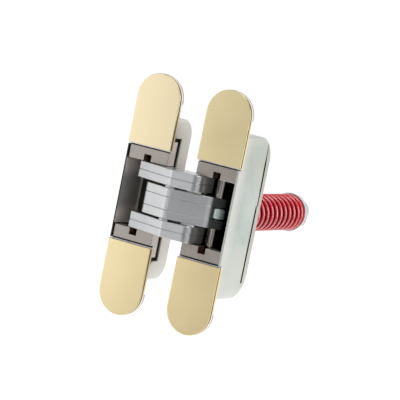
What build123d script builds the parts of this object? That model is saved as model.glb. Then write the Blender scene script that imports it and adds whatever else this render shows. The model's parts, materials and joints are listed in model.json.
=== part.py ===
from build123d import *
import math
import os

os.makedirs("parts", exist_ok=True)

# Frame: X runs along the two faces, Y goes into the door, Z is up.
# The origin is the middle of the closer half, on the back of its screw flange.

# Faces and covers
face_len = 120.0
face_w = 24.0
body_pitch = 39.0
cover_len = 35.9
plate_t = 0.65
shadow_gap = 0.6
shadow_depth = 0.8
sole_step = 0.45
cover_depth = 2.7
cover_wall = 1.4
cover_edge_r = 0.3
flange_t = 1.3
flange_step = 0.7
flange_inset = 0.15
neck_inset = 3.0
screw_hole_r = 2.6
screw_sink_r = 4.0
sink_depth = 0.8
screw_inset = 7.5
peg_r = 1.2
peg_clear = 0.05
peg_side = 5.4
peg_inset = 16.5

# Cases
case_inset = 0.25
wall = 1.15
closer_end = 19.9
closer_depth = 31.0
closer_corner_r = 12.5
back_part_depth = 5.9
seam_edge = 0.15
seam_w = 0.85
seam_cut = 0.9
seam_low_end = 7.8
seam_jog = 6.0
seam_high_end = 3.7
seam_step = 1.0
back_wall = 1.8
plain_end = 19.8
plain_depth = 19.8
plain_corner_r = 9.0
plain_wall = 1.4
pocket_end = 29.0
window_land = 0.5
closer_window = 13.2
plain_window = 9.6
window_r = 3.0
lip_depth = 0.3
thin_lip = 0.6
thin_depth = 9.0
thin_land = 0.6
case_edge_r = 1.4

# Guide blocks
block_low = 16.8
block_end_clear = 0.2
block_front = 0.9
block_lip = 7.4
lip_drop = 1.9
block_clear = 0.05
block_side_clear = 0.5
cover_clear = 0.3
block_back_clear = 0.3
groove_depth = 3.2
groove_clear = 0.15

# Linkage, measured from each face and each body's middle line
closer_pivot_x = -8.6
closer_pivot_depth = 9.1
plain_pivot_x = 6.8
plain_pivot_depth = 6.1
centre_x = -19.4
centre_depth = 4.0
closer_slide_depth = 9.5
plain_slide_depth = 7.5
closer_share = 0.568
plain_share = 0.588
centre_share = 1.0 - closer_share - plain_share
swing = 180.0
path_steps = 12

# Arms and pins
pivot_r = 2.0
centre_r = 2.4
slide_r = 2.5
slide_end_r = 1.9
bush_r = 3.1
bush_clear = 0.3
run_clear = 0.05
seat_clear = 0.01
pass_clear = 0.65
outer_low = 8.5
outer_plate_t = 4.0
middle_half = 7.5
short_plate_t = 6.4
plate_edge = 0.25
outer_knuckle_r = 3.6
middle_knuckle_r = 3.75
crease_x = -21.0
crease_depth = -5.0
crease_r = 4.0
arm_back_depth = 8.4
outer_toe_depth = 1.1
outer_toe_r = 0.8
outer_bend_x = -6.4
outer_bend_depth = -3.0
outer_bend_r = 4.0
middle_heel_depth = -1.1
middle_heel_r = 2.0
middle_toe_x = -0.5
middle_toe_depth = 3.1
short_stop = 0.8
washer_r = 3.3
washer_clear = 0.05
pivot_reach = 23.9
slide_reach = 19.7
pin_edge = 0.4

# Closer: tie rod, spring, washer and nut
eye_r = 4.3
eye_t = 5.8
eye_edge = 0.8
eye_clear = 0.3
flat_len = 5.6
rod_r = 4.0
rod_end = 96.0
rod_hole_clear = 0.35
rod_edge = 0.8
spring_r = 7.85
wire_r = 1.5
spring_end = 86.2
spring_turns = 11.0
spring_clear = 0.05
spring_boss_r = 5.9
spring_boss_t = 1.4
seat_washer_r = 9.9
seat_washer_t = 1.2
nut_af = 16.0
nut_turn = 22.6
nut_t = 6.0
nut_edge = 1.0

# Places that follow from the sizes
face_y = -(cover_depth + flange_t)
half_len = face_len / 2
closer_h = face_len - 2 * closer_end
plain_h = face_len - 2 * plain_end
pocket_h = face_len - 2 * pocket_end
seam_low = seam_low_end - closer_h / 2
seam_high = closer_h / 2 - seam_high_end
end_r = face_w / 2
round_z = half_len - end_r
cover_low = half_len - cover_len
sole_low = cover_low - sole_step
screw_z = half_len - screw_inset
peg_z = half_len - peg_inset
plain_x = -body_pitch
neck_w = face_w - 2 * neck_inset
peg_x = face_w / 2 - peg_side
case_w = face_w - 2 * case_inset
case_half = case_w / 2
pocket_half = case_half - wall
seam_depth = closer_depth - back_part_depth
window_h = pocket_h - 2 * window_land
block_high = pocket_h / 2 - block_end_clear
closer_block_back = seam_depth - block_back_clear
plain_block_back = plain_depth - plain_wall - block_back_clear
flange_y = face_y + cover_depth
pad_low = round_z - flange_step
closer_pivot = (closer_pivot_x, face_y + closer_pivot_depth)
plain_pivot = (plain_x + plain_pivot_x, face_y + plain_pivot_depth)
centre = (centre_x, face_y + centre_depth)
closer_slide = (0.0, face_y + closer_slide_depth)
plain_slide = (plain_x, face_y + plain_slide_depth)
outer_high = outer_low + 2 * outer_plate_t
short_half = short_plate_t / 2
pass_r = pivot_r + pass_clear
groove_r = slide_end_r + groove_clear


def deep(y):
    """Plane facing the viewer at depth y: local x is X, local y is Z."""
    return Plane.XZ.offset(-y)


def turned(v, degrees):
    a = math.radians(degrees)
    return (
        v[0] * math.cos(a) - v[1] * math.sin(a),
        v[0] * math.sin(a) + v[1] * math.cos(a),
    )


def slide_place(pivot, pin, share, degrees):
    """Where a slide pin stands in the half whose pivot is given, after the door has turned."""
    far = turned((pin[0] - centre[0], pin[1] - centre[1]), centre_share * degrees)
    arm = (centre[0] - pivot[0] + far[0], centre[1] - pivot[1] + far[1])
    arm = turned(arm, share * degrees)
    return (pivot[0] + arm[0], pivot[1] + arm[1])


def slide_path(pivot, pin, share, sense):
    steps = [sense * swing * i / path_steps for i in range(path_steps + 1)]
    return [slide_place(pivot, pin, share, d) for d in steps]


def pin_in_arm(pivot, pin, share, other, sense):
    """Where a fixed pivot ends up, seen from the arm whose slide pin runs past it."""
    full = sense * swing
    end = slide_place(pivot, pin, share, full)
    gap = turned((other[0] - end[0], other[1] - end[1]), -(share + centre_share) * full)
    return (pin[0] + gap[0], pin[1] + gap[1])


closer_path = slide_path(closer_pivot, closer_slide, closer_share, 1)
plain_path = slide_path(plain_pivot, plain_slide, plain_share, -1)


def finish(part, label):
    part.part.label = label
    export_step(part.part, "parts/" + label + ".step")


def tongue(x, side, inset, step=0.0):
    """Cover outline: straight inner edge, full round outer end."""
    low = cover_low + inset - step
    with Locations((x, side * round_z)):
        Circle(end_r - inset)
    with Locations((x, side * (low + round_z) / 2)):
        Rectangle(face_w - 2 * inset, round_z - low)


def cover(x, side, label):
    with BuildPart() as piece:
        with BuildSketch(deep(face_y + plate_t)):
            tongue(x, side, 0)
        extrude(amount=plate_t)
        fillet(piece.faces().sort_by(Axis.Y)[0].edges(), cover_edge_r)
        with BuildSketch(deep(face_y + plate_t + shadow_gap)):
            tongue(x, side, shadow_depth)
        extrude(amount=shadow_gap)
        with BuildSketch(deep(face_y + cover_depth)):
            tongue(x, side, 0, sole_step)
        extrude(amount=cover_depth - plate_t - shadow_gap)
        with BuildSketch(deep(face_y + cover_depth)):
            tongue(x, side, cover_wall)
        extrude(amount=cover_depth - plate_t, mode=Mode.SUBTRACT)
        with BuildSketch(deep(flange_y + flange_t)):
            with Locations((x - peg_x, side * peg_z), (x + peg_x, side * peg_z)):
                Circle(peg_r)
        extrude(amount=cover_depth - plate_t + flange_t)
    finish(piece, label)


def case_shell(x, height, depth, corner_r):
    """Side outline of a case with its two back corners rounded, as wide as the case."""
    with BuildSketch(Plane.YZ.offset(x)) as side:
        with Locations((face_y + (cover_depth + depth) / 2, 0)):
            Rectangle(depth - cover_depth, height)
        fillet(side.vertices().group_by(Axis.X)[-1], corner_r)
    extrude(side.sketch, amount=case_half, both=True)


def soft_edges(piece):
    """Rounds the long outer edges of a case, all but the ones at its open front."""
    sides = piece.faces().filter_by(Axis.X)
    long_edges = [e for e in sides.edges() if e.center().Y > flange_y + case_edge_r]
    fillet(long_edges, case_edge_r)


def flange(x):
    """Screw flange: a round pad behind each cover, joined to the case by a narrower neck."""
    with BuildSketch(deep(flange_y + flange_t)) as plan:
        for side in (1, -1):
            with Locations((x, side * round_z)):
                Circle(end_r - flange_inset)
            with Locations((x, side * (cover_low + pad_low) / 2)):
                Rectangle(face_w, pad_low - cover_low, mode=Mode.SUBTRACT)
            with Locations((x, side * (cover_low + round_z) / 2)):
                Rectangle(neck_w, round_z - cover_low)
    extrude(plan.sketch, amount=flange_t)


def flange_holes(x):
    with BuildSketch(deep(flange_y + flange_t)) as holes:
        for side in (1, -1):
            with Locations((x - peg_x, side * peg_z), (x + peg_x, side * peg_z)):
                Circle(peg_r + peg_clear)
            with Locations((x, side * screw_z)):
                Circle(screw_hole_r)
    extrude(holes.sketch, amount=flange_t, mode=Mode.SUBTRACT)
    for side in (1, -1):
        with BuildSketch(deep(flange_y + sink_depth)) as small:
            with Locations((x, side * screw_z)):
                Circle(screw_hole_r)
        with BuildSketch(deep(flange_y)) as wide:
            with Locations((x, side * screw_z)):
                Circle(screw_sink_r)
        loft([small.sketch, wide.sketch], mode=Mode.SUBTRACT)


def pocket(x, back):
    """Space for the guide blocks and the arms, open at the front."""
    with BuildSketch(deep(face_y + back)) as mouth:
        with Locations((x, 0)):
            Rectangle(2 * pocket_half, pocket_h)
    extrude(mouth.sketch, amount=back, mode=Mode.SUBTRACT)


def side_lip(x, far):
    """Front edge of the outer side wall, level with the covers between them."""
    with BuildSketch(deep(flange_y)) as lip:
        with Locations((x + far * (case_half - wall / 2), 0)):
            Rectangle(wall, 2 * (sole_low - cover_clear))
    extrude(lip.sketch, amount=cover_depth - lip_depth)


def thin_wall(x, far, back):
    """Thins the outer side wall from inside: beside the blocks at the front, and between them all the way."""
    middle = (x + far * (case_half - thin_lip - wall / 2), 0)
    for depth, height in ((thin_depth, window_h), (back, 2 * (block_low - thin_land))):
        with BuildSketch(deep(face_y + depth)) as relief:
            with Locations(middle):
                Rectangle(wall, height)
        extrude(relief.sketch, amount=depth, mode=Mode.SUBTRACT)


def side_window(x, near, depth):
    """Opening in the side wall towards the other half, with its two front corners rounded."""
    inner = x + near * (case_half - wall / 2)
    with BuildSketch(Plane.YZ.offset(inner)) as cut:
        with Locations((face_y + depth / 2, 0)):
            Rectangle(depth, window_h)
        for side in (1, -1):
            flare = (flange_y + window_r / 2, side * (window_h + window_r) / 2)
            with Locations(flare):
                Rectangle(window_r, window_r)
            with Locations((flange_y + window_r, side * (window_h / 2 + window_r))):
                Circle(window_r, mode=Mode.SUBTRACT)
    extrude(cut.sketch, amount=wall, both=True, mode=Mode.SUBTRACT)


def seam_slots():
    """Open seam along each side of the case back, in two lengths that don't quite line up."""
    front = face_y + seam_depth
    for side in (1, -1):
        with BuildSketch(Plane.YZ.offset(side * case_half)) as slots:
            with Locations((front + seam_w / 2, (seam_low + seam_jog) / 2)):
                Rectangle(seam_w, seam_jog - seam_low)
            with BuildLine():
                Polyline(
                    (front + seam_step, seam_jog),
                    (front + seam_step + seam_w, seam_jog),
                    (front + seam_w, seam_high),
                    (front, seam_high),
                    close=True,
                )
            make_face()
        extrude(slots.sketch, amount=-side * seam_cut, mode=Mode.SUBTRACT)


with BuildPart() as closer_case:
    case_shell(0, closer_h, closer_depth, closer_corner_r)
    soft_edges(closer_case)
    with BuildSketch(deep(face_y + closer_depth)):
        Rectangle(2 * case_w, 2 * closer_h)
    extrude(amount=closer_depth - seam_depth, mode=Mode.SUBTRACT)
    flange(0)
    pocket(0, seam_depth)
    side_lip(0, 1)
    side_window(0, -1, closer_window)
    flange_holes(0)
finish(closer_case, "closer_case")

with BuildPart() as closer_back:
    case_shell(0, closer_h, closer_depth, closer_corner_r)
    soft_edges(closer_back)
    with BuildSketch(deep(face_y + seam_depth)):
        Rectangle(2 * case_w, 2 * closer_h)
    extrude(amount=seam_depth, mode=Mode.SUBTRACT)
    rim = closer_back.faces().sort_by(Axis.Y)[0].edges()
    chamfer(rim, seam_edge)
    seam_slots()
    pocket(0, closer_depth - back_wall)
    with BuildSketch(deep(face_y + closer_depth + spring_boss_t)):
        Circle(spring_boss_r)
    extrude(amount=spring_boss_t)
    path_x = [p[0] for p in closer_path]
    with BuildSketch(deep(face_y + closer_depth + spring_boss_t)):
        with Locations(((min(path_x) + max(path_x)) / 2, 0)):
            SlotCenterToCenter(max(path_x) - min(path_x), 2 * (rod_r + rod_hole_clear))
    extrude(amount=closer_depth, mode=Mode.SUBTRACT)
finish(closer_back, "closer_back")

with BuildPart() as plain_case:
    case_shell(plain_x, plain_h, plain_depth, plain_corner_r)
    soft_edges(plain_case)
    flange(plain_x)
    pocket(plain_x, plain_depth - plain_wall)
    side_lip(plain_x, -1)
    thin_wall(plain_x, -1, plain_depth - plain_wall)
    side_window(plain_x, 1, plain_window)
    flange_holes(plain_x)
finish(plain_case, "plain_case")

cover(0, 1, "closer_cover_top")
cover(0, -1, "closer_cover_bottom")
cover(plain_x, 1, "plain_cover_top")
cover(plain_x, -1, "plain_cover_bottom")


def guide_block(x, near, side, back, window, pivot, path, label):
    """Block that holds the fixed pin and guides the slide pin in a groove along its path."""
    seat = pocket_half - block_clear
    near_edge = case_half - block_side_clear
    lip = min(block_lip, window - block_side_clear)
    mid = side * (block_low + block_high) / 2
    tall = block_high - block_low
    with BuildPart() as piece:
        with BuildSketch(deep(face_y + back)):
            with Locations((x, mid)):
                Rectangle(2 * seat, tall)
        extrude(amount=back - block_front)
        with BuildSketch(deep(face_y + lip)):
            with Locations((x + near * near_edge / 2, side * (block_low + window_h / 2 - lip_drop) / 2)):
                Rectangle(near_edge, window_h / 2 - lip_drop - block_low)
        extrude(amount=lip - block_front)
        with BuildSketch(deep(flange_y + cover_clear)):
            with Locations((x, side * (sole_low - cover_clear + half_len) / 2)):
                Rectangle(2 * face_w, half_len - sole_low + cover_clear)
        extrude(amount=2 * cover_depth, mode=Mode.SUBTRACT)
        with BuildSketch(Plane.XY.offset(side * block_low)):
            with BuildLine() as run:
                Spline(*path)
            trace(run.edges(), 2 * groove_r)
            with Locations(path[0], path[-1]):
                Circle(groove_r)
            with Locations((x, (path[0][1] + face_y) / 2)):
                Rectangle(2 * groove_r, path[0][1] - face_y)
        extrude(amount=side * groove_depth, mode=Mode.SUBTRACT)
        with BuildSketch(Plane.XY.offset(side * block_low)):
            with Locations(pivot):
                Circle(pivot_r + seat_clear)
        extrude(amount=side * (pivot_reach - block_low + seat_clear), mode=Mode.SUBTRACT)
    finish(piece, label)


guide_block(0, -1, 1, closer_block_back, closer_window, closer_pivot, closer_path, "closer_block_top")
guide_block(0, -1, -1, closer_block_back, closer_window, closer_pivot, closer_path, "closer_block_bottom")
guide_block(plain_x, 1, 1, plain_block_back, plain_window, plain_pivot, plain_path, "plain_block_top")
guide_block(plain_x, 1, -1, plain_block_back, plain_window, plain_pivot, plain_path, "plain_block_bottom")

# Outline sizes of the arms, as drawn in the open position
crease = (crease_x, face_y + crease_depth)
outer_toe_x = plain_x - outer_knuckle_r
outer_bend = (outer_bend_x, face_y + outer_bend_depth)
middle_heel_x = plain_pivot[0] - middle_knuckle_r
middle_toe = (middle_toe_x, face_y + middle_toe_depth)
outer_pass = pin_in_arm(plain_pivot, plain_slide, plain_share, plain_pivot, -1)
middle_pass = pin_in_arm(closer_pivot, closer_slide, closer_share, closer_pivot, 1)
short_cut_r = eye_r + eye_clear


def knuckle_touch(place, radius, toe):
    """Where a straight edge from the toe runs onto the far side of a knuckle."""
    gap = math.dist(place, toe)
    heading = math.atan2(place[1] - toe[1], place[0] - toe[0]) - math.asin(radius / gap)
    return (place[0] + radius * math.sin(heading), place[1] - radius * math.cos(heading))


def pass_slot(start, end):
    """Room behind an arm for the other arm's fixed pin, all the way that it travels."""
    with Locations(start, end):
        Circle(pass_r, mode=Mode.SUBTRACT)
    with Locations(((start[0] + end[0]) / 2, (start[1] + end[1]) / 2)):
        angle = math.degrees(math.atan2(end[1] - start[1], end[0] - start[0]))
        Rectangle(math.dist(start, end), 2 * pass_r, rotation=angle, mode=Mode.SUBTRACT)


def outer_plate(low, label):
    with BuildPart() as piece:
        with BuildSketch(Plane.XY.offset(low)) as plan:
            with BuildLine():
                Polyline(
                    crease,
                    (outer_toe_x, face_y + outer_toe_depth),
                    (outer_toe_x, plain_slide[1]),
                    (plain_slide[0], plain_slide[1] + outer_knuckle_r),
                    (plain_slide[0] + outer_knuckle_r, plain_slide[1]),
                    (centre_x, face_y + arm_back_depth),
                    (closer_pivot[0], closer_pivot[1] + outer_knuckle_r),
                    (closer_pivot[0] + outer_knuckle_r, closer_pivot[1]),
                    outer_bend,
                    close=True,
                )
            make_face()
            fillet(plan.vertices().sort_by_distance(outer_bend)[0], outer_bend_r)
            toe = (outer_toe_x, face_y + outer_toe_depth)
            fillet(plan.vertices().sort_by_distance(toe)[0], outer_toe_r)
            fillet(plan.vertices().sort_by_distance(crease)[0], crease_r)
            with Locations(plain_slide, closer_pivot):
                Circle(outer_knuckle_r)
            pass_slot(plain_pivot, outer_pass)
            with Locations(plain_slide):
                Circle(slide_r + seat_clear, mode=Mode.SUBTRACT)
            with Locations(centre):
                Circle(centre_r + seat_clear, mode=Mode.SUBTRACT)
            with Locations(closer_pivot):
                Circle(pivot_r + run_clear, mode=Mode.SUBTRACT)
        extrude(amount=outer_plate_t)
        rims = piece.faces().filter_by(Axis.Z).edges()
        chamfer(rims, plate_edge)
    finish(piece, label)


def middle_plate(low, thick, short, label):
    with BuildPart() as piece:
        with BuildSketch(Plane.XY.offset(low)) as plan:
            with BuildLine():
                Polyline(
                    middle_toe,
                    crease,
                    (middle_heel_x, face_y + middle_heel_depth),
                    (middle_heel_x, plain_pivot[1]),
                    (plain_pivot[0] + middle_knuckle_r / 2, face_y + arm_back_depth),
                    (centre_x, face_y + arm_back_depth),
                    (closer_slide[0] - middle_knuckle_r, closer_slide[1]),
                    closer_slide,
                    knuckle_touch(closer_slide, middle_knuckle_r, middle_toe),
                    close=True,
                )
            make_face()
            heel = (middle_heel_x, face_y + middle_heel_depth)
            fillet(plan.vertices().sort_by_distance(heel)[0], middle_heel_r)
            fillet(plan.vertices().sort_by_distance(crease)[0], crease_r)
            with Locations(plain_pivot, closer_slide):
                Circle(middle_knuckle_r)
            pass_slot(closer_pivot, middle_pass)
            with Locations(plain_pivot):
                Circle(pivot_r + run_clear, mode=Mode.SUBTRACT)
            with Locations(centre):
                Circle(centre_r + run_clear, mode=Mode.SUBTRACT)
            with Locations(closer_slide):
                Circle(short_cut_r if short else slide_r + seat_clear, mode=Mode.SUBTRACT)
            if short:
                with Locations((middle_toe[0] + short_stop + face_w / 2, closer_slide[1])):
                    Rectangle(face_w, 2 * face_w, mode=Mode.SUBTRACT)
        extrude(amount=thick)
        rims = piece.faces().filter_by(Axis.Z).edges()
        chamfer(rims, plate_edge)
    finish(piece, label)


outer_plate(outer_low + outer_plate_t, "upper_arm_outer_plate")
outer_plate(outer_low, "upper_arm_inner_plate")
outer_plate(-outer_low - outer_plate_t, "lower_arm_inner_plate")
outer_plate(-outer_high, "lower_arm_outer_plate")
middle_plate(short_half, middle_half - short_half, False, "middle_arm_top_plate")
middle_plate(-short_half, short_plate_t, True, "middle_arm_short_plate")
middle_plate(-middle_half, middle_half - short_half, False, "middle_arm_bottom_plate")


def plain_pin(place, radius, reach, label):
    with BuildPart() as piece:
        with BuildSketch(Plane.XY.offset(-reach)):
            with Locations(place):
                Circle(radius)
        extrude(amount=2 * reach)
        chamfer(piece.edges().filter_by(GeomType.CIRCLE), pin_edge)
    finish(piece, label)


def slide_pin(place, label):
    """Pin right through the middle arm, with a bush on each side of it and slim ends for the grooves."""
    with BuildPart() as piece:
        with BuildSketch(Plane.XY.offset(-slide_reach)):
            with Locations(place):
                Circle(slide_end_r)
        extrude(amount=2 * slide_reach)
        chamfer(piece.edges().filter_by(GeomType.CIRCLE), pin_edge)
        with BuildSketch(Plane.XY.offset(-middle_half)):
            with Locations(place):
                Circle(slide_r)
        extrude(amount=2 * middle_half)
        for side in (1, -1):
            with BuildSketch(Plane.XY.offset(side * middle_half)):
                with Locations(place):
                    Circle(bush_r)
            extrude(amount=side * (block_low - bush_clear - middle_half))
    finish(piece, label)


def slide_stub(place, side, label):
    """Short pin in one outer arm, with a slim end for the groove."""
    with BuildPart() as piece:
        with BuildSketch(Plane.XY.offset(side * outer_low)):
            with Locations(place):
                Circle(slide_r)
        extrude(amount=side * (outer_high - outer_low))
        with BuildSketch(Plane.XY.offset(side * outer_high)):
            with Locations(place):
                Circle(slide_end_r)
        extrude(amount=side * (slide_reach - outer_high))
        tip = piece.edges().filter_by(GeomType.CIRCLE).group_by(Axis.Z)[-1 if side > 0 else 0]
        chamfer(tip, pin_edge)
    finish(piece, label)


plain_pin(closer_pivot, pivot_r, pivot_reach, "closer_pivot_pin")
plain_pin(plain_pivot, pivot_r, pivot_reach, "plain_pivot_pin")
plain_pin(centre, centre_r, outer_high, "centre_pin")
slide_pin(closer_slide, "closer_slide_pin")
slide_stub(plain_slide, 1, "plain_slide_stub_top")
slide_stub(plain_slide, -1, "plain_slide_stub_bottom")


def arm_washer(low, label):
    with BuildPart() as piece:
        with BuildSketch(Plane.XY.offset(low + washer_clear)):
            with Locations(centre):
                Circle(washer_r)
                Circle(centre_r + run_clear, mode=Mode.SUBTRACT)
        extrude(amount=outer_low - middle_half - 2 * washer_clear)
    finish(piece, label)


arm_washer(middle_half, "upper_washer")
arm_washer(-outer_low, "lower_washer")

with BuildPart() as tie_rod:
    flat_end = closer_slide[1] + flat_len
    with BuildSketch(Plane.XY.offset(-eye_t / 2)):
        with Locations(closer_slide):
            Circle(eye_r)
        with Locations((0, (closer_slide[1] + flat_end) / 2)):
            Rectangle(2 * eye_r, flat_end - closer_slide[1])
        with Locations(closer_slide):
            Circle(slide_r + run_clear, mode=Mode.SUBTRACT)
    extrude(amount=eye_t)
    round_rims = tie_rod.edges().filter_by(GeomType.CIRCLE).group_by(SortBy.RADIUS)[-1]
    chamfer(round_rims, eye_edge)
    with BuildSketch(deep(face_y + rod_end)):
        Circle(rod_r)
    extrude(amount=face_y + rod_end - flat_end)
    tip = tie_rod.edges().filter_by(GeomType.CIRCLE).sort_by(Axis.Y)[-1]
    chamfer(tip, rod_edge)
finish(tie_rod, "tie_rod")

with BuildPart() as closer_spring:
    seat_y = face_y + closer_depth + spring_clear + wire_r
    coil_len = spring_end - closer_depth - 2 * (wire_r + spring_clear)
    with BuildLine():
        coil = Helix(coil_len / spring_turns, coil_len, spring_r, center=(0, seat_y, 0), direction=(0, 1, 0))
    with BuildSketch(Plane(coil @ 0, z_dir=coil % 0)):
        Circle(wire_r)
    sweep(path=coil, is_frenet=True)
finish(closer_spring, "closer_spring")

with BuildPart() as spring_washer:
    with BuildSketch(deep(face_y + spring_end + seat_washer_t)):
        Circle(seat_washer_r)
        Circle(rod_r + seat_clear, mode=Mode.SUBTRACT)
    extrude(amount=seat_washer_t)
    chamfer(spring_washer.faces().sort_by(Axis.Y)[-1].edges().sort_by(SortBy.LENGTH)[-1], pin_edge)
finish(spring_washer, "spring_washer")

with BuildPart() as adjuster_nut:
    nut_y = face_y + spring_end + seat_washer_t
    with BuildSketch(deep(nut_y + nut_t)):
        RegularPolygon(nut_af / 2, 6, major_radius=False, rotation=nut_turn)
    extrude(amount=nut_t)
    with BuildSketch(deep(nut_y + nut_t)):
        Circle(nut_af / 2 + nut_edge / 2)
    extrude(amount=nut_t, taper=-20, mode=Mode.INTERSECT)
    with BuildSketch(deep(nut_y + nut_t)):
        Circle(rod_r + seat_clear)
    extrude(amount=nut_t, mode=Mode.SUBTRACT)
finish(adjuster_nut, "adjuster_nut")
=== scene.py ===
import json
import math

import bpy
from mathutils import Matrix, Vector


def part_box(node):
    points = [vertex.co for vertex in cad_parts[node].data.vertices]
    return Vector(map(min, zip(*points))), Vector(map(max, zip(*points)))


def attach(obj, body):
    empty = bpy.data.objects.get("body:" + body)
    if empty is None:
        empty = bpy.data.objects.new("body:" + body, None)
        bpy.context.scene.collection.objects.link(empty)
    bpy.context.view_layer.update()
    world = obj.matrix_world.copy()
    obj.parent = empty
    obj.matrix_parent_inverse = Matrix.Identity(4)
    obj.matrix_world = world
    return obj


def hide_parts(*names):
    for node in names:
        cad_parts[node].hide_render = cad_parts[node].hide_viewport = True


MM = 0.001
# A point nearer to a cut than FINE counts as on it, and points nearer than WELD are joined.
FINE = 1e-7
WELD = 1e-6

# X runs along the two faces, Y goes into the door and Z is up, as in the frame.
FACE = -4.0 * MM
PLAIN = -39.0 * MM
BETWEEN = -20.0 * MM

# Most of a noise lies between these two values.
FAINT = 0.3
STRONG = 0.7

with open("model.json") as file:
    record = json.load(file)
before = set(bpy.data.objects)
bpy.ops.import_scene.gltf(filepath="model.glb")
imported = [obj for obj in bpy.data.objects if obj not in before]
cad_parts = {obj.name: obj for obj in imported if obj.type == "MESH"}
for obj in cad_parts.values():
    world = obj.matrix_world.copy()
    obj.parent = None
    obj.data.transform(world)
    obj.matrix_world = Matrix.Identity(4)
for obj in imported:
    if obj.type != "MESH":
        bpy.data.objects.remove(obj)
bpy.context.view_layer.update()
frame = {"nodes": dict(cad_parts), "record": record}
nodes = frame["nodes"]
bpy.ops.object.select_all(action="DESELECT")


class Wire:
    """A shader socket that takes part in sums, so a finish reads as plain arithmetic."""

    def __init__(self, finish, socket):
        self.finish = finish
        self.socket = socket

    def _sum(self, operation, *terms):
        return self.finish.node("ShaderNodeMath", {"operation": operation}, *terms)

    def __add__(self, other):
        return self._sum("ADD", self, other)

    __radd__ = __add__

    def __sub__(self, other):
        return self._sum("SUBTRACT", self, other)

    def __rsub__(self, other):
        return self._sum("SUBTRACT", other, self)

    def __mul__(self, other):
        return self._sum("MULTIPLY", self, other)

    __rmul__ = __mul__

    def __truediv__(self, other):
        return self._sum("DIVIDE", self, other)

    def __pow__(self, other):
        return self._sum("POWER", self, other)

    def __abs__(self):
        return self._sum("ABSOLUTE", self)

    def above(self, edge):
        return self._sum("GREATER_THAN", self, edge)

    def below(self, edge):
        return self._sum("LESS_THAN", self, edge)

    def between(self, low, high):
        return self.above(low) * self.below(high)

    def clamped(self):
        return self.finish.node("ShaderNodeClamp", {}, self)


class Finish:
    """One material, built from nodes on the part's own coordinates."""

    def __init__(self, name):
        self.material = bpy.data.materials.new(name)
        self.material.use_nodes = True
        self.tree = self.material.node_tree
        self.shader = self.tree.nodes["Principled BSDF"]
        self.place = self.node("ShaderNodeTexCoord", {}, out="Object")

    def node(self, kind, settings, *inputs, out=0, **named):
        """Adds a node, sets it up, feeds its sockets and gives back one of its outputs."""
        made = self.tree.nodes.new(kind)
        for key, value in settings.items():
            if key == "stops":
                ramp = made.color_ramp
                while len(ramp.elements) < len(value):
                    ramp.elements.new(1.0)
                for element, (at, colour) in zip(ramp.elements, value):
                    element.position = at
                    element.color = (*colour, 1.0)
            else:
                setattr(made, key, value)
        feeds = list(enumerate(inputs)) + [(k.replace("_", " "), v) for k, v in named.items()]
        for key, value in feeds:
            self.feed(made.inputs[key], value)
        return Wire(self, made.outputs[out])

    def feed(self, socket, value):
        """Links a wire to a socket, or sets the socket to a number or colour."""
        if isinstance(value, Wire):
            self.tree.links.new(value.socket, socket)
        elif socket.type == "RGBA" and len(value) == 3:
            socket.default_value = (*value, 1.0)
        else:
            socket.default_value = value

    def axes(self):
        """The place on the part as three values."""
        split = self.tree.nodes.new("ShaderNodeSeparateXYZ")
        self.tree.links.new(self.place.socket, split.inputs[0])
        return [Wire(self, split.outputs[i]) for i in range(3)]

    def stretched(self, scale):
        return self.node("ShaderNodeMapping", {}, self.place, Scale=scale)

    def noise(self, scale, detail=3.0, rough=0.5, at=None, skew=0.0):
        return self.node(
            "ShaderNodeTexNoise", {}, Vector=at or self.place, Scale=scale, Detail=detail,
            Roughness=rough, Distortion=skew, out="Fac",
        )

    def ramp(self, value, *stops):
        return self.node("ShaderNodeValToRGB", {"stops": stops}, value, out="Color")

    def range(self, value, low, high, to_low=0.0, to_high=1.0):
        return self.node("ShaderNodeMapRange", {}, value, low, high, to_low, to_high)

    def tone(self, noise, dark, light):
        """A colour that drifts from dark to light with a noise."""
        return self.ramp(noise, (FAINT, dark), (STRONG, light))

    def drift(self, noise, low, high):
        """A value that drifts from low to high with a noise."""
        return self.range(noise, FAINT, STRONG, low, high)

    def near(self, value, place, wide, tight):
        """Full within tight of a place, fading to nothing at wide."""
        return self.range(abs(value - place), wide, tight)

    def mix(self, share, first, second):
        made = self.tree.nodes.new("ShaderNodeMix")
        made.data_type = "RGBA"
        for index, value in ((0, share), (6, first), (7, second)):
            self.feed(made.inputs[index], value)
        return Wire(self, made.outputs[2])

    def coats(self, colour, *layers):
        """Lays one colour over the last, each as far as its share goes."""
        for share, over in layers:
            colour = self.mix(share, colour, over)
        return colour

    def rounded(self, radius):
        """Normal with the sharp edges eased, and how strongly a spot is on an edge."""
        soft = self.node("ShaderNodeBevel", {"samples": 6}, radius)
        flat = self.node("ShaderNodeNewGeometry", {}, out="Normal")
        turn = self.node("ShaderNodeVectorMath", {"operation": "DOT_PRODUCT"}, soft, flat, out="Value")
        return soft, self.range(1 - turn, 0.02, 0.25)

    def bump(self, height, depth, normal=None):
        named = {"Height": height, "Distance": depth}
        if normal is not None:
            named["Normal"] = normal
        return self.node("ShaderNodeBump", {}, **named)

    def surface(self, **sockets):
        """Feeds the shader's sockets by name and gives back the material."""
        for key, value in sockets.items():
            self.feed(self.shader.inputs[key.replace("_", " ")], value)
        return self.material


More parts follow.
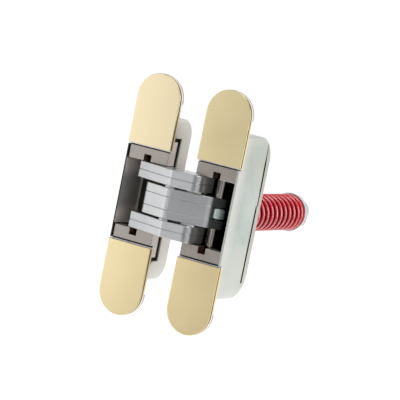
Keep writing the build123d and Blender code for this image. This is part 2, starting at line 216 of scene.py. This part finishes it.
def gold_cover():
    """Satin gold plate over a bare nickel sole, with painted shade in the groove between the two, and
    painted light and shade by half, height and edge.
    """
    plate_back = FACE + 0.34 * MM
    sole_front = FACE + 1.23 * MM
    flank_front = FACE + 1.45 * MM
    sole_reach = 24.14 * MM
    f = Finish("champagne_gold")
    x, y, z = f.axes()
    eased, edge = f.rounded(0.3 * MM)
    cloud = f.noise(38.0, detail=2.0)
    grain = f.noise(2600.0, detail=2.0)
    drag = f.noise(700.0, detail=3.0, at=f.stretched((1.0, 1.0, 0.05)))
    left = x.below(BETWEEN)
    upper = z.above(0.0)
    groove = y.between(plate_back, flank_front)
    flank = y.above(flank_front)
    round_end = f.range(abs(z), 44.0 * MM, 50.0 * MM)
    sole = y.above(sole_front) * abs(z).below(sole_reach)
    colour = f.coats(
        f.tone(cloud, (0.87, 0.72, 0.41), (0.92, 0.78, 0.46)),
        # Painted light: the upper covers of the plain half and the lower covers of the closer half are
        # painted lighter.
        (left * upper * 0.5, (0.92, 0.80, 0.58)),
        ((1 - left) * (1 - upper) * 0.6, (1.0, 0.805, 0.455)),
        # Painted highlight: the edges are painted paler.
        (edge * 0.5, (0.97, 0.91, 0.70)),
        # Painted shade: the groove between plate and sole is painted dark.
        (groove * 0.9, (0.15, 0.095, 0.075)),
        # Painted shade: the flanks are painted darker, most in the plain half; painted reflection: they
        # are paler towards the round ends.
        (flank * (0.2 + left * 0.5), (0.58, 0.42, 0.18)),
        (flank * round_end * 0.6, (0.93, 0.89, 0.82)),
        (sole, (0.95, 0.96, 0.99)),
    )
    rough = f.drift(cloud, 0.30, 0.36) + (grain - 0.5) * 0.05 + (drag - 0.5) * 0.06
    return f.surface(
        Base_Color=colour, Metallic=1 - sole * 0.35, Roughness=rough,
        Normal=f.bump(grain, 0.004 * MM, eased),
    )


def zinc_case():
    """Pale plated casting with painted shade in the pocket, a polished wall in the plain half, and
    painted light and shade on the sides and edges.
    """
    pocket_side = 10.68 * MM
    pocket_top = 31.05 * MM
    closer_pocket_back = 25.25 * MM
    plain_pocket_left = -11.22 * MM
    plain_pocket_back = 14.45 * MM
    far_wall_face = -10.0 * MM
    far_wall_top = 16.3 * MM
    lip_side = -10.9 * MM
    lip_back = FACE + 0.5 * MM
    back_part = 21.1 * MM
    seam_front = 21.0 * MM
    seam_back = 23.1 * MM
    seam_side = 11.7 * MM
    seam_bottom = -36.05 * MM
    rim_side = 11.0 * MM
    rim_bottom = -32.5 * MM
    jog = 6.0 * MM
    jog_step = 1.0 * MM
    jog_slope = 30.4
    flange_back = 0.05 * MM
    flange_low = 40.0 * MM
    f = Finish("plated_zinc")
    x, y, z = f.axes()
    eased, edge = f.rounded(0.8 * MM)
    cloud = f.noise(60.0, detail=4.0, rough=0.6)
    blot = f.noise(22.0, detail=3.0, skew=0.6)
    grain = f.noise(1800.0, detail=2.0)

    left = x.below(BETWEEN)
    right = 1 - left
    from_plain = x - PLAIN
    in_closer = abs(x).below(pocket_side) * y.below(closer_pocket_back) * right
    in_plain = from_plain.between(plain_pocket_left, pocket_side) * y.below(plain_pocket_back) * left
    inside = (in_closer + in_plain) * abs(z).below(pocket_top)
    far_wall = from_plain.below(far_wall_face) * inside * abs(z).below(far_wall_top)
    lip = from_plain.below(lip_side) * y.below(lip_back)

    # The seam between case and back, with painted shade in it and along its rim, fading just above the
    # jog.
    seam = y.between(seam_front, seam_back) * abs(x).below(seam_side) * right * (1 - inside)
    seam = seam * z.above(seam_bottom) * f.range(z, 33.5 * MM, 30.0 * MM)
    slant = z.above(jog) * (jog_step - (z - jog) / jog_slope)
    behind = y - slant - back_part
    rim = behind.between(-0.3 * MM, 1.25 * MM) * abs(x).above(rim_side) * right
    rim_shade_fade = f.near(z, 9.0 * MM, 5.0 * MM, 2.0 * MM)
    rim = rim * z.above(rim_bottom) * f.range(z, 31.0 * MM, 27.0 * MM) * (1 - rim_shade_fade * 0.6)
    seam = (seam + rim).clamped()

    cool = f.ramp(
        cloud, (0.36, (0.44, 0.48, 0.44)), (0.52, (0.51, 0.55, 0.51)), (0.66, (0.56, 0.56, 0.51)),
    )
    cool = f.mix(f.range(blot, 0.45, 0.7), cool, (0.55, 0.56, 0.54))
    warm = f.tone(cloud, (0.59, 0.585, 0.525), (0.66, 0.645, 0.575))
    warm = f.mix(f.range(blot, 0.5, 0.65), warm, (0.70, 0.63, 0.58))
    closer_ends = f.range(abs(z), 34.0 * MM, 40.0 * MM) * right
    closer_upper = f.range(z, 12.0 * MM, 26.0 * MM) * right
    closer_lower = f.range(z, -12.0 * MM, -34.0 * MM) * right
    plain_lower = f.range(z, -15.0 * MM, -30.0 * MM) * left
    near_flange = f.range(y, 5.5 * MM, -2.0 * MM)
    pad = y.below(flange_back) * abs(z).above(flange_low)
    # Painted shade: the pocket is painted near black, less dark in the plain half.
    painted_shade = f.tone(cloud, (0.012, 0.012, 0.012), (0.03, 0.028, 0.026))
    painted_shade = f.mix(left * 0.8, painted_shade, (0.07, 0.058, 0.048))
    # Painted reflection: the polished far wall is painted lighter towards its top and bottom.
    wall_ends = f.range(abs(z), 5.0 * MM, 12.0 * MM)
    polished = f.ramp(
        wall_ends + (cloud - 0.5) * 0.4, (0.2, (0.50, 0.48, 0.44)), (0.9, (0.95, 0.85, 0.78)),
    )
    colour = f.coats(
        f.mix(left, cool, warm),
        (y.above(back_part) * right, (0.50, 0.485, 0.43)),
        # Painted light and shade: the closer case is painted lighter towards its ends and lower part and
        # darker in its upper part; the plain case is painted lighter in its lower part.
        (closer_ends * 0.6, (0.74, 0.76, 0.73)),
        (closer_upper * 0.5, (0.41, 0.44, 0.37)),
        (closer_lower * 0.5, (0.66, 0.67, 0.59)),
        (plain_lower * 0.8, (0.75, 0.74, 0.69)),
        # Painted reflection: the sides are painted lighter towards the front, by the flange.
        (near_flange * 0.6, (0.66, 0.65, 0.60)),
        # Painted highlight: the edges are painted paler.
        (edge * 0.4, (0.86, 0.88, 0.84)),
        # Painted shade: the flange pads at the round ends are painted darker.
        (pad * 0.9, (0.37, 0.335, 0.355)),
        ((inside + seam).clamped(), f.mix(far_wall, painted_shade, polished)),
        # Painted shade: the front lip of the far wall is painted near black.
        (lip, (0.06, 0.055, 0.055)),
    )
    rough = f.drift(cloud, 0.34, 0.44)
    rough = rough + far_wall * (0.30 - rough) + (inside - far_wall) * 0.12
    return f.surface(
        Base_Color=colour, Metallic=0.9 - far_wall * 0.9, Roughness=rough,
        Normal=f.bump(grain, 0.010 * MM, eased),
    )


def nickel_block():
    """Satin nickel on the front and the lip, with painted shade where the block sits in the pocket and by
    the covers, and painted light on the plain half, the outer side and the edges.
    """
    plain_side = 19.0 * MM
    outer_face = 11.0 * MM
    front_edge = FACE + 1.2 * MM
    slot_side = 2.08 * MM
    slot_end = 20.05 * MM
    lip_back = FACE + 7.45 * MM
    buried_end = 28.65 * MM
    gap_start = 23.12 * MM
    lower_gap_more = 0.32 * MM
    gap_back = FACE + 3.1 * MM
    f = Finish("satin_nickel")
    x, y, z = f.axes()
    from_plain = x - PLAIN
    eased, edge = f.rounded(0.65 * MM)
    cloud = f.noise(140.0, detail=4.0)
    grain = f.noise(2400.0, detail=2.0)
    outer_side = from_plain.between(outer_face, plain_side) * y.above(front_edge)
    slot = (abs(x).below(slot_side) + abs(from_plain).below(slot_side)) * abs(z).below(slot_end)
    buried = (y.above(lip_back) + abs(z).above(buried_end)).clamped()
    gap = abs(z).above(gap_start - z.below(0.0) * lower_gap_more) * y.below(gap_back)
    colour = f.coats(
        f.tone(cloud, (0.35, 0.31, 0.28), (0.43, 0.385, 0.35)),
        # Painted light: the block of the plain half is painted lighter.
        (from_plain.below(plain_side) * 0.75, (0.48, 0.43, 0.395)),
        # Painted light: the outer side is painted lighter.
        (outer_side, (0.80, 0.71, 0.68)),
        # Painted highlight: the edges are painted paler.
        (edge * 0.9, (0.92, 0.89, 0.85)),
        (slot, (0.30, 0.16, 0.09)),
        # Painted shade: where the block sits in the pocket and along the gap by the covers it is painted
        # near black.
        ((buried + gap).clamped(), (0.012, 0.011, 0.011)),
    )
    return f.surface(
        Base_Color=colour, Metallic=0.9, Roughness=f.drift(cloud, 0.40, 0.5),
        Normal=f.bump(grain, 0.010 * MM, eased),
    )


def steel_arm():
    """Blanked and plated steel with drag lines along the edges, painted highlights and dark lines at the
    bends, and painted shade on the knuckles.
    """
    middle_top = 8.0 * MM
    gap_low = 7.45 * MM
    gap_high = 8.55 * MM
    f = Finish("brushed_steel")
    x, y, z = f.axes()
    eased, edge = f.rounded(0.25 * MM)
    lines = f.noise(900.0, detail=3.0, at=f.stretched((1.0, 1.0, 0.06)))
    cloud = f.noise(90.0, detail=3.0)
    middle = abs(z).below(middle_top)
    in_gap = abs(z).between(gap_low, gap_high)
    right_facet = f.range(x, -22.0 * MM, -20.0 * MM)

    # Each bend has a painted highlight line; the outer arms have a painted dark line before it.
    painted_dark_line = f.near(x, -9.1 * MM, 1.1 * MM, 0.3 * MM) * y.below(-6.6 * MM) * (1 - middle)
    outer_bend_highlight = f.near(x, -7.2 * MM, 1.1 * MM, 0.4 * MM) * y.below(-5.5 * MM) * 0.85
    middle_bend_highlight = f.near(x, -2.0 * MM, 1.2 * MM, 0.4 * MM) * y.below(-0.5 * MM) * 0.35
    bend_highlight = outer_bend_highlight + middle * (middle_bend_highlight - outer_bend_highlight)
    outer_knuckle_shade = f.range(y, -6.1 * MM, -5.4 * MM) * f.range(x, -11.0 * MM, -9.5 * MM)
    middle_knuckle_shade = f.range(x, -1.2 * MM, -0.3 * MM)
    knuckle_shade = outer_knuckle_shade + middle * (middle_knuckle_shade - outer_knuckle_shade)
    colour = f.coats(
        f.tone(cloud, (0.56, 0.565, 0.565), (0.63, 0.635, 0.635)),
        # Painted light: the right facets are painted lighter.
        (right_facet * 0.15, (0.74, 0.745, 0.745)),
        (painted_dark_line * 0.85, (0.32, 0.32, 0.32)),
        (bend_highlight, (0.96, 0.96, 0.96)),
        # Painted highlight on the edges, left out between the plates; painted shade: the gap between the
        # plates is painted darker.
        (edge * (0.4 - in_gap * 0.4), (0.86, 0.86, 0.86)),
        (in_gap * 0.5, (0.42, 0.42, 0.42)),
        # Painted shade: the knuckles' sides are painted darker, near black on the middle arm.
        (knuckle_shade * 0.85, f.mix(middle, (0.36, 0.35, 0.34), (0.04, 0.04, 0.04))),
    )
    return f.surface(
        Base_Color=colour, Metallic=1 - knuckle_shade * 0.65, Roughness=f.drift(lines, 0.30, 0.42) - knuckle_shade * 0.16,
        Normal=f.bump(lines * (1 - knuckle_shade * 0.8), 0.008 * MM, eased),
    )


def steel_pin():
    """Hard pins, polished along their length, with darker and brighter streaks."""
    f = Finish("ground_steel")
    streak = f.noise(1100.0, detail=2.0, at=f.stretched((1.0, 1.0, 0.02)))
    tint = f.ramp(
        streak, (0.40, (0.11, 0.09, 0.075)), (0.52, (0.28, 0.25, 0.21)), (0.66, (0.80, 0.78, 0.75)),
    )
    return f.surface(
        Base_Color=tint, Metallic=1.0, Roughness=f.drift(streak, 0.08, 0.16),
        Normal=f.bump(streak, 0.004 * MM),
    )


def white_washer():
    """White bearing plastic with a faint mottle."""
    f = Finish("white_acetal")
    cloud = f.noise(300.0, detail=3.0)
    return f.surface(
        Base_Color=f.tone(cloud, (0.70, 0.70, 0.68), (0.78, 0.78, 0.76)),
        Roughness=f.drift(cloud, 0.4, 0.55), Normal=f.bump(cloud, 0.01 * MM),
    )


def zinc_rod():
    """Bluish zinc plating, with a cut thread on the part of the rod that carries the nut; painted shade
    in the thread's roots and round the eye, painted light on the eye and painted highlights on the edges.
    """
    rod_radius = 4.05 * MM
    thread_start = 60.0 * MM
    thread_pitch = 1.25 * MM
    eye_back = 14.0 * MM
    washer_front = 83.3 * MM
    f = Finish("bluish_zinc")
    x, y, z = f.axes()
    eased, edge = f.rounded(0.3 * MM)
    cloud = f.noise(160.0, detail=4.0, rough=0.6)
    grain = f.noise(2200.0, detail=2.0)
    spiral = f.node("ShaderNodeMath", {"operation": "ARCTAN2"}, z, x) / (2 * math.pi)
    turn = f.node("ShaderNodeMath", {"operation": "FRACT"}, y / thread_pitch + spiral)
    ridge = abs(turn - 0.5) * 2
    radius = (x * x + z * z) ** 0.5
    cut = radius.below(rod_radius) * y.above(thread_start)
    eye = y.below(eye_back)
    nut = y.above(washer_front) * radius.above(rod_radius)
    painted_shade = (f.range(y, 3.6 * MM, 5.2 * MM) + f.range(abs(z), 2.3 * MM, 2.75 * MM)).clamped() * eye
    tint = f.ramp(
        cloud, (0.3, (0.66, 0.71, 0.71)), (0.6, (0.76, 0.80, 0.80)), (0.8, (0.80, 0.81, 0.78)),
    )
    colour = f.coats(
        tint,
        # Painted highlight: the edges are painted paler.
        (edge * 0.5, (0.93, 0.95, 0.95)),
        # Painted shade: the roots of the thread are painted darker.
        ((1 - ridge) * cut * 0.6, (0.22, 0.23, 0.24)),
        (nut, f.tone(cloud, (0.50, 0.53, 0.57), (0.58, 0.61, 0.65))),
        # Painted light: the eye is painted lighter than the rest of the rod.
        (eye, f.ramp(cloud, (0.35, (0.62, 0.80, 0.71)), (0.6, (0.95, 0.99, 0.97)))),
        # Painted shade: the eye's margins and its shank are painted near black.
        (painted_shade, (0.035, 0.045, 0.04)),
    )
    return f.surface(
        Base_Color=colour, Metallic=0.9 - eye * 0.4, Roughness=f.drift(cloud, 0.26, 0.38),
        Normal=f.bump(ridge * cut + grain * 0.03, 0.3 * MM, eased),
    )


def red_spring():
    """Red powder coat, glossy on the crest of each turn, with painted shade between the turns."""
    f = Finish("red_coat")
    x, _, z = f.axes()
    cloud = f.noise(220.0, detail=3.0)
    peel = f.noise(1100.0, detail=1.0)
    radius = (x * x + z * z) ** 0.5
    tint = f.tone(cloud, (0.76, 0.012, 0.028), (0.86, 0.02, 0.04))
    valley_shade = f.range(radius, 9.1 * MM, 8.3 * MM)
    crest = f.range(radius, 8.75 * MM, 9.25 * MM)
    return f.surface(
        # Painted shade: the wire is painted dark red towards the inside of the coil, between the turns.
        Base_Color=f.mix(valley_shade, tint, (0.14, 0.0, 0.002)), Roughness=f.drift(cloud, 0.3, 0.4),
        Specular_IOR_Level=0.1, Coat_Weight=crest, Coat_Roughness=0.08, Coat_IOR=1.9,
        Normal=f.bump(peel, 0.006 * MM),
    )


finishes = {
    "gold_cover": gold_cover(), "zinc_case": zinc_case(), "nickel_block": nickel_block(),
    "steel_arm": steel_arm(), "steel_pin": steel_pin(), "white_washer": white_washer(),
    "zinc_rod": zinc_rod(), "red_spring": red_spring(),
}
for sub in frame["record"]["subparts"]:
    mesh = nodes[sub["node"]].data
    mesh.materials.clear()
    mesh.materials.append(finishes[sub["material_slot"]])


def close_ends():
    """Caps the open loops of the mesh in edit mode."""
    bpy.ops.mesh.select_mode(type="EDGE")
    bpy.ops.mesh.select_all(action="DESELECT")
    bpy.ops.mesh.select_non_manifold(
        extend=False, use_wire=False, use_boundary=True, use_multi_face=False,
        use_non_contiguous=False, use_verts=False,
    )
    bpy.ops.mesh.edge_face_add()


def cut_away(place, outwards):
    """Cuts the whole mesh flat at a plane, drops what lies outwards of it and closes the cut."""
    bpy.ops.mesh.select_all(action="SELECT")
    bpy.ops.mesh.bisect(
        plane_co=place, plane_no=outwards, use_fill=True, clear_outer=True, threshold=FINE,
    )


def wound(start, pitch, turns, wire, mean):
    """One stretch of the coil: a ring of wire, wound by the Screw modifier about the rod's axis."""
    bpy.ops.mesh.primitive_circle_add(vertices=24, radius=wire, location=(-mean, start, 0))
    piece = bpy.context.active_object
    bpy.ops.object.transform_apply(location=True, rotation=True, scale=True)
    screw = piece.modifiers.new("wind", "SCREW")
    screw.axis = "Y"
    screw.angle = 2 * math.pi
    screw.screw_offset = pitch
    screw.iterations = turns
    screw.steps = screw.render_steps = 60
    bpy.ops.object.modifier_apply(modifier="wind")
    bpy.ops.object.select_all(action="DESELECT")
    return piece


def coil_spring():
    """Compression spring with one closed turn at each end, ground flat, in place of the even coil."""
    low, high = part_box("closer_spring")
    wire = 1.5 * MM
    mean = 7.85 * MM
    start, end = low[1], high[1]
    closed = 2.04 * wire
    open_turns = 10
    pitch = (end - start - 2 * closed) / open_turns
    stretches = [
        wound(start, closed, 1, wire, mean),
        wound(start + closed, pitch, open_turns, wire, mean),
        wound(end - closed, closed, 1, wire, mean),
    ]
    for stretch in stretches:
        stretch.select_set(True)
    piece = stretches[0]
    bpy.context.view_layer.objects.active = piece
    bpy.ops.object.join()
    piece.name = "spring_coil"
    bpy.ops.object.mode_set(mode="EDIT")
    bpy.ops.mesh.select_all(action="SELECT")
    bpy.ops.mesh.remove_doubles(threshold=WELD)
    close_ends()
    cut_away((0, start, 0), (0, -1, 0))
    cut_away((0, end, 0), (0, 1, 0))
    bpy.ops.mesh.select_all(action="SELECT")
    bpy.ops.mesh.normals_make_consistent(inside=False)
    bpy.ops.object.mode_set(mode="OBJECT")
    bpy.ops.object.shade_smooth_by_angle(angle=math.radians(50))
    piece.data.materials.append(finishes["red_spring"])
    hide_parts("closer_spring")
    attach(piece, "closer")
    bpy.ops.object.select_all(action="DESELECT")


def ridge_pad(name, washer):
    """Spacer between an outer and the middle arm, under their ridge and level with the fronts."""
    low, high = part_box(washer)
    outer_plate = 8.5 * MM
    bottom, top = (low[2], outer_plate) if low[2] > 0 else (-outer_plate, high[2])
    ridge = Vector((-21.0, -8.85)) * MM
    width, depth = 4.8 * MM, 4.0 * MM
    left_fall, right_fall = 0.30, 0.15
    bpy.ops.mesh.primitive_plane_add(size=1.0, location=(ridge.x, ridge.y + depth / 2, bottom))
    piece = bpy.context.active_object
    piece.name = name
    piece.scale = (width, depth, 1.0)
    bpy.ops.object.transform_apply(location=True, rotation=True, scale=True)
    bpy.ops.object.mode_set(mode="EDIT")
    bpy.ops.mesh.select_all(action="SELECT")
    bpy.ops.mesh.extrude_region_move(TRANSFORM_OT_translate={"value": (0, 0, top - bottom)})
    cut_away((ridge.x, ridge.y, 0), (left_fall, -1, 0))
    cut_away((ridge.x, ridge.y, 0), (-right_fall, -1, 0))
    bpy.ops.mesh.select_all(action="SELECT")
    bpy.ops.mesh.normals_make_consistent(inside=False)
    bpy.ops.mesh.bevel(offset=0.12 * MM, segments=2, affect="EDGES")
    bpy.ops.object.mode_set(mode="OBJECT")
    bpy.ops.object.shade_smooth_by_angle(angle=math.radians(40))
    piece.data.materials.append(finishes["steel_arm"])
    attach(piece, "outer_arms")
    bpy.ops.object.select_all(action="DESELECT")


coil_spring()
ridge_pad("upper_ridge_pad", "upper_washer")
ridge_pad("lower_ridge_pad", "lower_washer")


def place_camera():
    """The photo's view: from the right and a little above, with the camera rolled."""
    eye = Vector((468.15, -898.62, 118.76)) * MM
    right = Vector((0.85562, 0.47834, 0.19775))
    up = Vector((-0.22699, 0.00341, 0.97389))
    back = right.cross(up)
    turn = Matrix((right, up, back)).transposed().to_4x4()
    data = bpy.data.cameras.new("camera")
    data.sensor_width = 36.0
    data.lens = 191.87
    camera = bpy.data.objects.new("camera", data)
    bpy.context.collection.objects.link(camera)
    camera.matrix_world = Matrix.Translation(eye) @ turn
    bpy.context.scene.camera = camera


def softbox(name, at, towards, size, power):
    """A rectangular lamp at a place, turned towards another."""
    data = bpy.data.lights.new(name, "AREA")
    data.shape = "RECTANGLE"
    data.size, data.size_y = size
    data.energy = power
    lamp = bpy.data.objects.new(name, data)
    bpy.context.collection.objects.link(lamp)
    lamp.location = at
    lamp.rotation_euler = (Vector(towards) - Vector(at)).to_track_quat("-Z", "Y").to_euler()


def stage_white(name, glow):
    """White card: camera and reflections see it white, fading to grey in front, and it takes a shadow."""
    f = Finish(name)
    tint = f.ramp(f.noise(3.0), (0.0, (0.93, 0.93, 0.93)), (1.0, (0.96, 0.96, 0.96)))
    f.surface(Base_Color=tint, Roughness=0.9)
    plain = Wire(f, f.shader.outputs[0])
    rays = f.tree.nodes.new("ShaderNodeLightPath").outputs
    seen = [Wire(f, rays[f"Is {kind} Ray"]) for kind in ("Camera", "Glossy", "Transmission")]
    back = f.range(f.axes()[1], -0.5, 0.1)
    lit = f.node("ShaderNodeEmission", {}, f.mix(back, (0, 0, 0), (glow, glow, glow)))
    both = f.node("ShaderNodeAddShader", {}, plain, lit)
    shown = f.node("ShaderNodeMixShader", {}, (seen[0] + seen[1] + seen[2]).clamped(), plain, both)
    f.tree.links.new(shown.socket, f.tree.nodes["Material Output"].inputs["Surface"])
    return f.material


def card(name, centre, turn, size, glow):
    """A flat studio card, widened from a unit square."""
    bpy.ops.mesh.primitive_plane_add(size=1.0, location=centre, rotation=turn)
    piece = bpy.context.active_object
    piece.name = name
    piece.scale = (*size, 1.0)
    bpy.ops.object.transform_apply(location=True, rotation=True, scale=True)
    piece.data.materials.append(stage_white(name + "_white", glow))
    bpy.ops.object.select_all(action="DESELECT")


def studio():
    """A white floor and backdrop, a grey surround and four soft lamps."""
    card("floor", (0, 0, -0.32), (0, 0, 0), (24.0, 24.0), 0.74)
    card("backdrop", (0, 4.0, 0), (math.pi / 2, 0, 0), (24.0, 8.0), 0.72)
    world = bpy.data.worlds.new("studio")
    bpy.context.scene.world = world
    world.use_nodes = True
    world.node_tree.nodes["Background"].inputs["Color"].default_value = (0.36, 0.37, 0.38, 1.0)
    softbox("key", (-0.34, -0.30, 0.02), (-0.03, 0.0, 0.0), (0.26, 0.40), 0.37)
    softbox("top", (0.1, 0.0, 0.7), (0.0, 0.02, 0.0), (0.9, 0.4), 2.6)
    softbox("side", (0.60, 0.24, 0.12), (0.0, 0.05, 0.0), (0.3, 0.5), 1.5)
    softbox("front", (-0.08, -0.9, -0.06), (-0.02, 0.0, 0.0), (0.26, 0.40), 0.30)


place_camera()
studio()

bpy.context.scene.view_settings.view_transform = "Standard"
